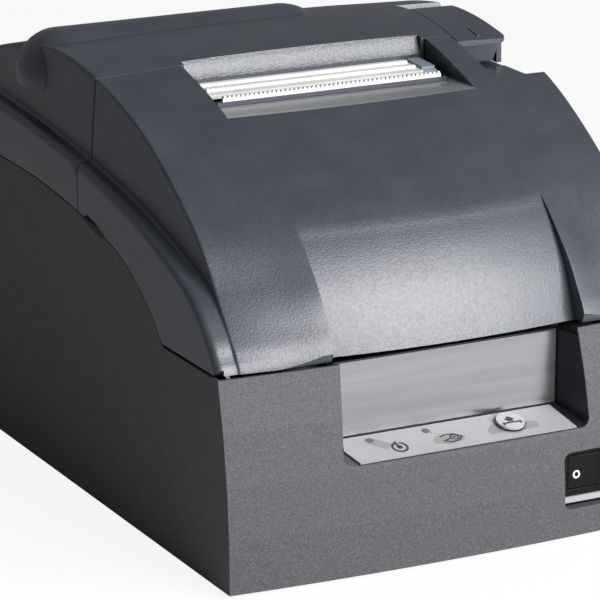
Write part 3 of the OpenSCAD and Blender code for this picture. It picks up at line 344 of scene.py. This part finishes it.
def guide_plastic():
    """White moulding, with the pale blue-grey end block of the exit guide."""
    c = Mat("guide_plastic", srgb(232, 233, 231), 0.34, spec=0.4)
    x = c.axes()[0]
    c.tint(c.noise(90, 3), srgb(190, 191, 190), srgb(202, 203, 201))
    c.base(c.mix(c.math("GREATER_THAN", x, GUIDE_BLOCK_X), c.color, srgb(120, 127, 140)))
    c.gloss(c.noise(400, 2), 0.28, 0.42)
    return c.bump(c.noise(1200, 2), 0.00002, 0.4).m


def sheet_metal():
    c = Mat("zinc_sheet", srgb(186, 189, 190), 0.38, 1.0)
    streak = c.noise(160, 4, 0.6, (1, 1, 9))
    c.tint(c.cells(240), srgb(168, 172, 175), srgb(205, 207, 206), 0.1, 0.8)
    c.gloss(streak, 0.3, 0.48)
    return c.bump(streak, 0.00003, 0.3).m


def ground_steel():
    c = Mat("ground_steel", srgb(205, 206, 208), 0.22, 1.0)
    line = c.noise(900, 2, 0.6, (0.05, 1, 1))
    c.tint(line, srgb(188, 190, 193), srgb(216, 217, 219))
    c.gloss(line, 0.16, 0.34)
    return c.bump(line, 0.00002, 0.35).m


def panel_steel():
    """Satin sheet with faint lines along it."""
    c = Mat("panel_steel", srgb(152, 154, 158), 0.2, 1.0)
    line = c.noise(420, 3, 0.6, (0.03, 1, 0.6))
    c.tint(line, srgb(147, 149, 152), srgb(158, 159, 163), 0.3, 0.7)
    c.gloss(line, 0.19, 0.24)
    return c.bump(line, 0.000004, 0.1).m


def circuit_board():
    c = Mat("circuit_board", srgb(22, 92, 60), 0.3)
    brick = c.n.new("ShaderNodeTexBrick")
    for k, v in (("Scale", 95), ("Mortar Size", 0.03), ("Brick Width", 1.3), ("Row Height", 0.22)):
        brick.inputs[k].default_value = v
    c.l.new(c.coord, brick.inputs["Vector"])
    c.tint(brick.outputs["Fac"], srgb(18, 80, 52), srgb(52, 132, 84), 0, 1)
    c.gloss(c.noise(300, 2), 0.22, 0.4)
    return c.bump(brick.outputs["Fac"], 0.00005, 0.5).m


def ink_ribbon():
    c = Mat("ink_ribbon", srgb(30, 26, 40), 0.8)
    wave = c.n.new("ShaderNodeTexWave")
    wave.inputs["Scale"].default_value = 900
    c.l.new(c.coord, wave.inputs["Vector"])
    c.tint(c.noise(300, 3), srgb(20, 18, 28), srgb(48, 40, 66))
    c.gloss(c.noise(700, 2), 0.7, 0.9)
    return c.bump(wave.outputs["Fac"], 0.00005, 0.6).m


def rubber():
    c = Mat("black_rubber", srgb(34, 34, 35), 0.75)
    c.tint(c.noise(220, 4), srgb(27, 27, 28), srgb(46, 46, 47))
    c.gloss(c.noise(500, 2), 0.62, 0.85)
    return c.bump(c.noise(1400, 3), 0.0001, 0.5).m


MATS = {
    "case_plastic": case_plastic(),
    "cover_plastic": cover_plastic(),
    "dark_plastic": plain("dark_plastic", (12, 12, 13), 0.4, 0.08, 1600, 0.00004, spec=0.12,
                          edge=0.0003),
    "black_rubber": rubber(),
    "zinc_steel": sheet_metal(),
    "ground_steel": ground_steel(),
    "white_plastic": plain("white_plastic", (208, 209, 208), 0.32, 0.06, 1200, 0.00002, vary=0.03),
    "label_print": plain("label_print", (142, 143, 146), 0.42, 0.05, 2400, 0.00002, spec=0.3,
                         vary=0.02),
    "led_lens": plain("led_lens", (84, 86, 88), 0.5, 0.04, 900, 0.00001, spec=0.15),
    "board": circuit_board(),
    "cast_alloy": plain("cast_alloy", (48, 48, 50), 0.42, 0.1, 900, 0.00015, 0.6),
    "nose_alloy": plain("nose_alloy", (150, 150, 155), 0.34, 0.08, 1500, 0.00003, 1.0),
    "brass": plain("brass", (206, 170, 96), 0.28, 0.07, 1200, 0.00002, 1.0),
    "chute_blue": plain("chute_blue", (30, 34, 50), 0.34, 0.06, 1200, 0.00003),
    "cable_film": plain("cable_film", (222, 222, 210), 0.4, 0.05, 1200, 0.00002, vary=0.03),
    "ink_fabric": ink_ribbon(),
}
slot_of = {s["node"]: s["material_slot"] for s in frame["record"]["subparts"]}


def paint(o, material):
    o.data.materials.clear()
    o.data.materials.append(material)


def smooth(mesh):
    for p in mesh.polygons:
        p.use_smooth = True
    mesh.set_sharp_from_angle(angle=SHARP)


def finish_mesh(bm, name):
    """The bmesh as a mesh without its working layers."""
    mesh = bpy.data.meshes.new(name)
    bm.to_mesh(mesh)
    bm.free()
    for layer in ("on_skin", "custom_normal"):
        if layer in mesh.attributes:
            mesh.attributes.remove(mesh.attributes[layer])
    return mesh


def show(mesh, material):
    """A new object of the same name, in that material."""
    mesh.materials.append(material)
    o = bpy.data.objects.new(mesh.name, mesh)
    scene.collection.objects.link(o)
    return o


for name, o in N.items():
    paint(o, MATS[slot_of[name]])
    smooth(o.data)
paint(N["recess_plate"], panel_steel())
paint(N["case"], case_plastic("case_front_plastic", True))
paint(N["exit_guide"], guide_plastic())
paint(N["feed_button"],
      plain("button_film", (158, 159, 161), 0.4, 0.05, 1500, 0.00002, spec=0.3, vary=0.02))

# ---------------------------------------------------------------- covers with the moulding's true curves
# The loft of part.scad, drawn again finely: the covers' outer skin is refined and lies on it.

FRONT_FAN, REAR_FAN = 60, 190           # the sections fan out from a line between these two places
STATION_STEPS, SECTION_STEPS, ARC_STEPS = 14, 5, 6
CREST_EASE, FOOT_EASE = 1.5, 1.1        # where the short curves over the two corners start
EASE_SHARE = 0.45                       # and at most this share of the edge beside the corner
CENTRE = [(7, RIM), (7.2, 64.3), (7.4, 69), (9.6, 74.2), (17.2, 85.2), (35.8, 102.4), (57.5, 115.4),
          (80.4, 124.9), (109.7, 133.4), (134, 135.6), (160, 134.2), (188, 128), (212.5, 118.4),
          (231.5, 109.6), (244, 101.4), (247.3, 94), (248, 84), (248, RIM)]
FLANK = [(8.3, RIM), (8.6, 64.3), (9.7, 69), (12.8, 74.2), (20.4, 85), (37.2, 101.2), (58.1, 114.4),
         (80.6, 124.4), (109.7, 132.8), (135, 135.2), (160.6, 133.7), (188, 127.4), (212.3, 118.1),
         (231, 109.3), (243.7, 101.3), (247.2, 94), (248, 84), (248, RIM)]
CREASE = [(11.2, RIM), (11.8, 64.3), (14.3, 69), (18.4, 74.2), (27.2, 84.4), (39.8, 98.9), (59.5, 112.8),
          (81.6, 123.9), (109.7, 131.6), (136, 134.7), (161.5, 132.5), (188, 126.3), (212, 117.2),
          (230.3, 108.7), (243.2, 101), (247.1, 94), (248, 84), (248, RIM)]
LEDGE = [(11.6, RIM), (12.2, 64.3), (15, 69), (19.4, 74.6), (29.3, 83.4), (42, 89.3), (60.5, 95.6),
         (80.5, 100.8), (109.7, 105.8), (136, 109), (161.5, 111), (188, 112.3), (212, 111.4),
         (230.6, 107.4), (243, 100.6), (247, 94), (248, 84), (248, RIM)]


def curve(points, steps):
    """Catmull-Rom curve through the points."""
    p = [Vector(q) for q in points]
    out = []
    for i in range(len(p) - 1):
        a, b, c, d = p[max(i - 1, 0)], p[i], p[i + 1], p[min(i + 2, len(p) - 1)]
        for k in range(steps):
            t = k / steps
            out.append(0.5 * (2 * b + (c - a) * t + (2 * a - 5 * b + 4 * c - d) * t * t
                              + (3 * b - a - 3 * c + d) * t * t * t))
    return out + [p[-1]]


def inset(p, t):
    """p moved by t towards the line that the sections fan out from."""
    foot = Vector((min(max(p.x, FRONT_FAN), REAR_FAN), RIM))
    if p.y > RIM + 0.01:
        return p + t * (foot - p).normalized()
    return Vector((p.x + (t if p.x < HALF_DEPTH else -t), RIM))


def skirt(z):
    """Half width of the side wall at that height."""
    return SKIRT - 0.5 * z / SEAM


def half_section(c, f, e, l):
    """The section's points from the middle out to the rim, with its corners rounded."""
    foot = CREST + 0.3 + 0.062 * max(e.y - l.y, 0)
    top = [(0, c), (0.22 * CREST, c.lerp(f, 0.14)), (0.414 * CREST, c.lerp(f, 0.49)),
           (0.594 * CREST, f), (0.746 * CREST, f.lerp(e, 0.39)), (0.884 * CREST, f.lerp(e, 0.71)),
           (CREST, e)]
    line = curve([(x, p.x, p.y) for x, p in top], SECTION_STEPS)
    side, edge = inset(l, SHOULDER), skirt(l.y)
    a, b = Vector((edge - SHOULDER, l.x, l.y)), Vector((edge, l.x, l.y))
    c = Vector((edge, side.x, side.y))
    turn = [k / ARC_STEPS for k in range(ARC_STEPS + 1)]
    shoulder = [a.lerp(b, t).lerp(b.lerp(c, t), t) for t in turn]
    crest = len(line) - 1
    return rounded(line + [Vector((foot, l.x, l.y))] + shoulder + [Vector((skirt(RIM), side.x, RIM))],
                   {crest: CREST_EASE, crest + 1: FOOT_EASE})


def rounded(line, corners):
    """The line with some corners replaced by short curves that start that far from them."""
    out = []
    for i, b in enumerate(line):
        reach = corners.get(i)
        if not reach:
            out.append(b)
            continue
        a, c = line[i - 1] - b, line[i + 1] - b
        a = a.normalized() * min(reach, a.length * EASE_SHARE)
        c = c.normalized() * min(reach, c.length * EASE_SHARE)
        for k in range(ARC_STEPS + 1):
            t = k / ARC_STEPS
            out.append(b + (1 - t) ** 2 * a + t ** 2 * c)
    return out


def fine_skin():
    """The loft's outer surface in the row frame: a search tree, corners, normals and triangles."""
    stations = [curve(line, STATION_STEPS) for line in (CENTRE, FLANK, CREASE, LEDGE)]
    rows = [half_section(*q) for q in zip(*stations)]
    width = len(rows[0])
    points, faces = [], []
    for side in (1, -1):
        start = len(points)
        for row in rows:
            points += [mm(side * q.x, q.y, q.z) for q in row]
        for i in range(len(rows) - 1):
            for j in range(width - 1):
                a = start + i * width + j
                quad = (a, a + width, a + width + 1, a + 1)
                quad = quad if side < 0 else quad[::-1]
                faces += [(quad[0], quad[1], quad[2]), (quad[0], quad[2], quad[3])]
    mesh = bpy.data.meshes.new("skin_reference")
    mesh.from_pydata(points, [], faces)
    bm = bmesh.new()
    bm.from_mesh(mesh)
    bmesh.ops.remove_doubles(bm, verts=bm.verts, dist=1e-6)
    bmesh.ops.triangulate(bm, faces=bm.faces)
    bm.normal_update()
    bm.verts.ensure_lookup_table()
    co, no = [v.co.copy() for v in bm.verts], [v.normal.copy() for v in bm.verts]
    tri = [[v.index for v in f.verts] for f in bm.faces]
    bm.free()
    bpy.data.meshes.remove(mesh)
    return BVHTree.FromPolygons(co, tri), co, no, tri


SKIN = fine_skin()


def on_skin(p, reach):
    """The place and the smooth normal of the skin next to p, or None where it is further than reach."""
    tree, co, no, tri = SKIN
    at, _, i, _ = tree.find_nearest(p, reach)
    if at is None:
        return None
    a, b, c = tri[i]
    n = barycentric_transform(at, co[a], co[b], co[c], no[a], no[b], no[c]).normalized()
    return at, n


REACH = 0.0007                          # the skin is looked for this far from a corner, in metres
NEAR_TOP, NEAR_SIDE, SIDE_X = 0.00022, 0.0004, 0.07     # how near a face of the skin lies to it
LONG_EDGE, BENT_EDGE = 0.003, 0.0007    # longer edges are split, the second where the skin bends
SAME_WAY, RUNS_IN, STRAIGHT = 0.88, 0.95, 0.993         # cosines between two normals


def ease_meeting(mesh, outer, normal, meet, loops):
    """Turns the normals gently where other faces run into the skin, over a band beside the line."""
    ties = {v: set() for v in normal}
    for e in mesh.edges:
        a, b = e.vertices
        if a in normal and b in normal:
            ties[a].add(b)
            ties[b].add(a)
    for v, corners in meet.items():
        n = normal[v].copy()
        for k in corners:
            n += loops[k] * (1 / len(corners))
        normal[v] = n.normalized()
    ring, band = set(meet), set()
    for _ in range(4):
        ring = {b for a in ring for b in ties[a]} - band - set(meet)
        band |= ring
    for _ in range(5):
        fresh = {}
        for v in band:
            n = sum((normal[b] for b in ties[v]), Vector())
            fresh[v] = (normal[v] + n / max(1, len(ties[v]))).normalized()
        normal.update(fresh)
    for p in mesh.polygons:
        for k in p.loop_indices:
            v = mesh.loops[k].vertex_index
            if v in normal and (p.index in outer or (v in meet and k in meet[v])):
                loops[k] = normal[v]


def refine(node, body):
    """A finer copy of a cover: the faces on its outer skin are split up and lie on the true curve."""
    bm = bmesh.new()
    bm.from_mesh(N[node].data)
    bmesh.ops.remove_doubles(bm, verts=bm.verts, dist=WELD)
    bmesh.ops.triangulate(bm, faces=bm.faces)
    bm.normal_update()
    known = {}

    def skin(p):
        key = tuple(round(q, 7) for q in p)
        if key not in known:
            known[key] = on_skin(p, REACH)
        return known[key]

    mark = bm.faces.layers.int.new("on_skin")
    for f in bm.faces:
        middle = f.calc_center_median()
        found = skin(middle)
        limit = NEAR_TOP if abs(middle.x) < SIDE_X else NEAR_SIDE
        f[mark] = int(bool(found) and (found[0] - middle).length < limit
                      and found[1].dot(f.normal) > SAME_WAY and all(skin(v.co) for v in f.verts))
    for _ in range(6):
        split = set()
        for f in bm.faces:
            if f[mark]:
                for e in f.edges:
                    far = e.calc_length()
                    a, b = skin(e.verts[0].co), skin(e.verts[1].co)
                    if far > LONG_EDGE or (far > BENT_EDGE and a and b and a[1].dot(b[1]) < STRAIGHT):
                        split.add(e)
        if not split:
            break
        bmesh.ops.subdivide_edges(bm, edges=list(split), cuts=1, use_grid_fill=False)
        bmesh.ops.triangulate(bm, faces=[f for f in bm.faces if len(f.verts) > 3])
    bm.verts.index_update()
    bm.faces.index_update()
    outer = {f.index for f in bm.faces if f[mark]}
    normal = {}
    for v in {v for f in bm.faces if f[mark] for v in f.verts}:
        found = skin(v.co)
        if found:
            v.co, normal[v.index] = found
    mesh = finish_mesh(bm, node + "_fine")
    smooth(mesh)
    loops = [Vector(n.vector) for n in mesh.corner_normals]
    meet = {}
    for p in mesh.polygons:
        for k in p.loop_indices:
            v = mesh.loops[k].vertex_index
            if v in normal:
                if p.index in outer:
                    loops[k] = normal[v]
                elif p.normal.dot(normal[v]) > RUNS_IN:     # the tongue and the bar run into the skin
                    meet.setdefault(v, []).append(k)
    if meet:
        ease_meeting(mesh, outer, normal, meet, loops)
    mesh.normals_split_custom_set(loops)
    o = show(mesh, MATS[slot_of[node]])
    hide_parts(node)
    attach(o, body)


for cover in ("front_cover", "roll_cover", "cover_lever"):
    refine(cover, cover)

# ---------------------------------------------------------------- the head's flat cable, cut up finely


def travelling_cable():
    """The head's cable between the printer and the carriage, cut up finely along x."""
    bm = bmesh.new()
    bm.from_mesh(N["head_cable"].data)
    bmesh.ops.remove_doubles(bm, verts=bm.verts, dist=WELD)
    for _ in range(5):
        split = [e for e in bm.edges if abs(e.verts[0].co.x - e.verts[1].co.x) > LONG_EDGE]
        if not split:
            break
        bmesh.ops.subdivide_edges(bm, edges=split, cuts=1)
        bmesh.ops.triangulate(bm, faces=[f for f in bm.faces if len(f.verts) > 3])
    o = show(finish_mesh(bm, "head_cable_film"), MATS["cable_film"])
    smooth(o.data)
    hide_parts("head_cable")
    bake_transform(o)


travelling_cable()

# ---------------------------------------------------------------- prints, made as thin films

TILT = math.radians(15.63)              # slope of the label
LABEL_Y, LABEL_Z = 3.7, 33.5            # where its slope starts
SHADES, SIGNS, ON_BUTTON, ON_ROCKER = (0.41, 0.435), (0.41, 0.445), (1.59, 1.625), (-0.01, 0.02)
BUTTON = (18.4, 7.4)                    # the feed button's middle on the label
OVAL_STEPS = 40


def on_label(x, s, h):
    """Row-frame point over the sloping label: x across, s up the slope, h out of it."""
    return mm(x, LABEL_Y + s * math.cos(TILT) - h * math.sin(TILT),
              LABEL_Z + s * math.sin(TILT) + h * math.cos(TILT))


def oval(x, y, rx, ry=None):
    turns = [2 * math.pi * k / OVAL_STEPS for k in range(OVAL_STEPS)]
    return [(x + rx * math.cos(t), y + (ry or rx) * math.sin(t)) for t in turns]


def arc(x, y, r, a, b, n=36):
    """Points along a circle from a to b degrees."""
    turns = [math.radians(a + (b - a) * k / n) for k in range(n + 1)]
    return [(x + r * math.cos(t), y + r * math.sin(t)) for t in turns]


def ribbon(line, width, closed=False):
    """Both edges of a stroke along the line."""
    pts = [Vector(p) for p in line]
    left, right = [], []
    for i, p in enumerate(pts):
        a = pts[i - 1] if i or closed else p
        b = pts[(i + 1) % len(pts)] if i < len(pts) - 1 or closed else p
        u, v = (p - a).normalized() if p != a else None, (b - p).normalized() if b != p else None
        t = (u or v) + (v or u)
        t.normalize()
        n = Vector((-t.y, t.x))
        grow = 1 / max(0.4, n.dot(Vector((-(v or u).y, (v or u).x))))
        left.append(p + n * width / 2 * grow)
        right.append(p - n * width / 2 * grow)
    return left, right, closed


def film(name, body, slot_name, material, place, lo, hi, fills=(), strokes=()):
    """One piece made of thin closed films, from lo to hi: filled outlines and strokes."""
    bm = bmesh.new()

    def add(faces):
        for f in faces:
            bm.faces.new(f)

    for outline in fills:
        low = [bm.verts.new(place(x, y, lo)) for x, y in outline]
        top = [bm.verts.new(place(x, y, hi)) for x, y in outline]
        k = len(low)
        add([top, low[::-1]])
        add((low[i], low[(i + 1) % k], top[(i + 1) % k], top[i]) for i in range(k))
    for left, right, closed in strokes:
        a, b, c, d = ([bm.verts.new(place(p[0], p[1], h)) for p in side]
                      for side in (left, right) for h in (lo, hi))
        k = len(a)
        for i in range(k if closed else k - 1):
            j = (i + 1) % k
            add([(b[i], b[j], d[j], d[i]), (a[j], a[i], c[i], c[j]), (a[i], a[j], b[j], b[i]),
                 (c[j], c[i], d[i], d[j])])
        if not closed:
            add([(a[0], b[0], d[0], c[0]), (b[-1], a[-1], c[-1], d[-1])])
    bmesh.ops.recalc_face_normals(bm, faces=bm.faces)
    bmesh.ops.triangulate(bm, faces=[f for f in bm.faces if len(f.verts) > 4])
    o = show(finish_mesh(bm, name), material)
    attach(o, body)


INK = plain("ink_dark", (22, 23, 26), 0.5, 0.05, 2400, 0.00001, spec=0.3, vary=0.15)
INK_PALE = plain("ink_pale", (122, 124, 121), 0.5, 0.05, 2400, 0.00001, spec=0.3, vary=0.04)
INK_WHITE = plain("ink_white", (236, 236, 236), 0.45, 0.05, 2400, 0.00001, spec=0.3, vary=0.03)

film("panel_shades", "printer", "label_print", INK_PALE, on_label, *SHADES, fills=[
    [(-30.04, 11.76), (-28.42, 11.87), (-25.82, 10.37), (-22.29, 7.16), (-25.18, 4.52),
     (-26.88, 6.43), (-29.7, 9.44)],
    [(-9.22, 5.65), (-7.27, 7.35), (-1.67, 7.49), (1.6, 4.89), (0.04, 3.08), (-4.62, 2.13), (-9.28, 3.65)],
    [(9.53, 5.53), (12.38, 8.37), (13.8, 8.62)] + arc(*BUTTON, 4.74, 165, 236, 10) + [(9.93, 3.38)],
    [(23.84, 7.5), (27.27, 6.1), (26.71, 3.28), (21.0, 3.2)] + arc(*BUTTON, 4.74, -60, 1, 10)],
    strokes=[ribbon(arc(*BUTTON, 4.98, 0, 350), 0.5, True)])
film("panel_symbols", "printer", "label_print", INK, on_label, *SIGNS,
    fills=[oval(-20.9, 4.98, 0.95), oval(-2.0, 5.45, 0.5)],
    strokes=[ribbon(arc(-20.9, 4.98, 2.3, 108, 432), 0.85),
             ribbon([(-21.25, 8.1), (-21.1, 4.8)], 0.85),
             ribbon([(-6.3, 6.5), (-4.6, 7.3), (-1.6, 7.0), (0.5, 5.3), (-1.2, 3.6), (-4.2, 3.1), (-5.9, 4.3),
                     (-3.4, 5.1)], 0.62),
             ribbon(arc(-2.0, 5.45, 1.2, 0, 350), 0.55, True)]
    + [ribbon([(-7.86 + 0.8 * k, 9.43 - 0.68 * k), (-7.5 + 0.8 * k, 9.12 - 0.68 * k)], 0.3)
       for k in range(3)])
film("button_symbol", "feed_button", "label_print", INK, on_label, *ON_BUTTON,
    fills=[[(16.3, 7.75), (18.3, 9.6), (20.2, 7.9), (19.3, 7.9), (19.3, 6.9), (17.3, 6.9), (17.3, 7.8)]],
    strokes=[ribbon([(15.4, 5.2), (15.4, 6.3), (21.2, 6.3), (21.2, 5.2)], 0.75)])

ROCKER = mm(45.5, 9, 19.2)              # the rocker's axis
REST = math.radians(-6)                 # its lean at rest


def on_rocker(side):
    """Places points on one of the rocker's two front faces: u along it, v up it, h out of it."""
    a, b = Vector((side * 9.2, -5.4)), Vector((side * 5, -5.2))      # two points of that face, in plan
    along = (b - a).normalized() * -side
    out_of = Vector((along.y, -along.x))
    out_of = out_of if out_of.y < 0 else -out_of
    middle = (a + b) / 2

    def place(u, v, h):
        p = middle + along * u + out_of * h
        x = p.x * math.cos(REST) - p.y * math.sin(REST)
        y = p.x * math.sin(REST) + p.y * math.cos(REST)
        return ROCKER + Vector((x, y, v)) / 1000
    return place


film("off_mark", "power_rocker", "label_print", INK_WHITE, on_rocker(-1), *ON_ROCKER,
     strokes=[ribbon(oval(0.79, -0.87, 0.95, 1.05), 0.5, True)])
film("on_mark", "power_rocker", "label_print", INK_WHITE, on_rocker(1), *ON_ROCKER,
     strokes=[ribbon([(-0.79, -2.0), (-0.79, 0.3)], 0.5)])
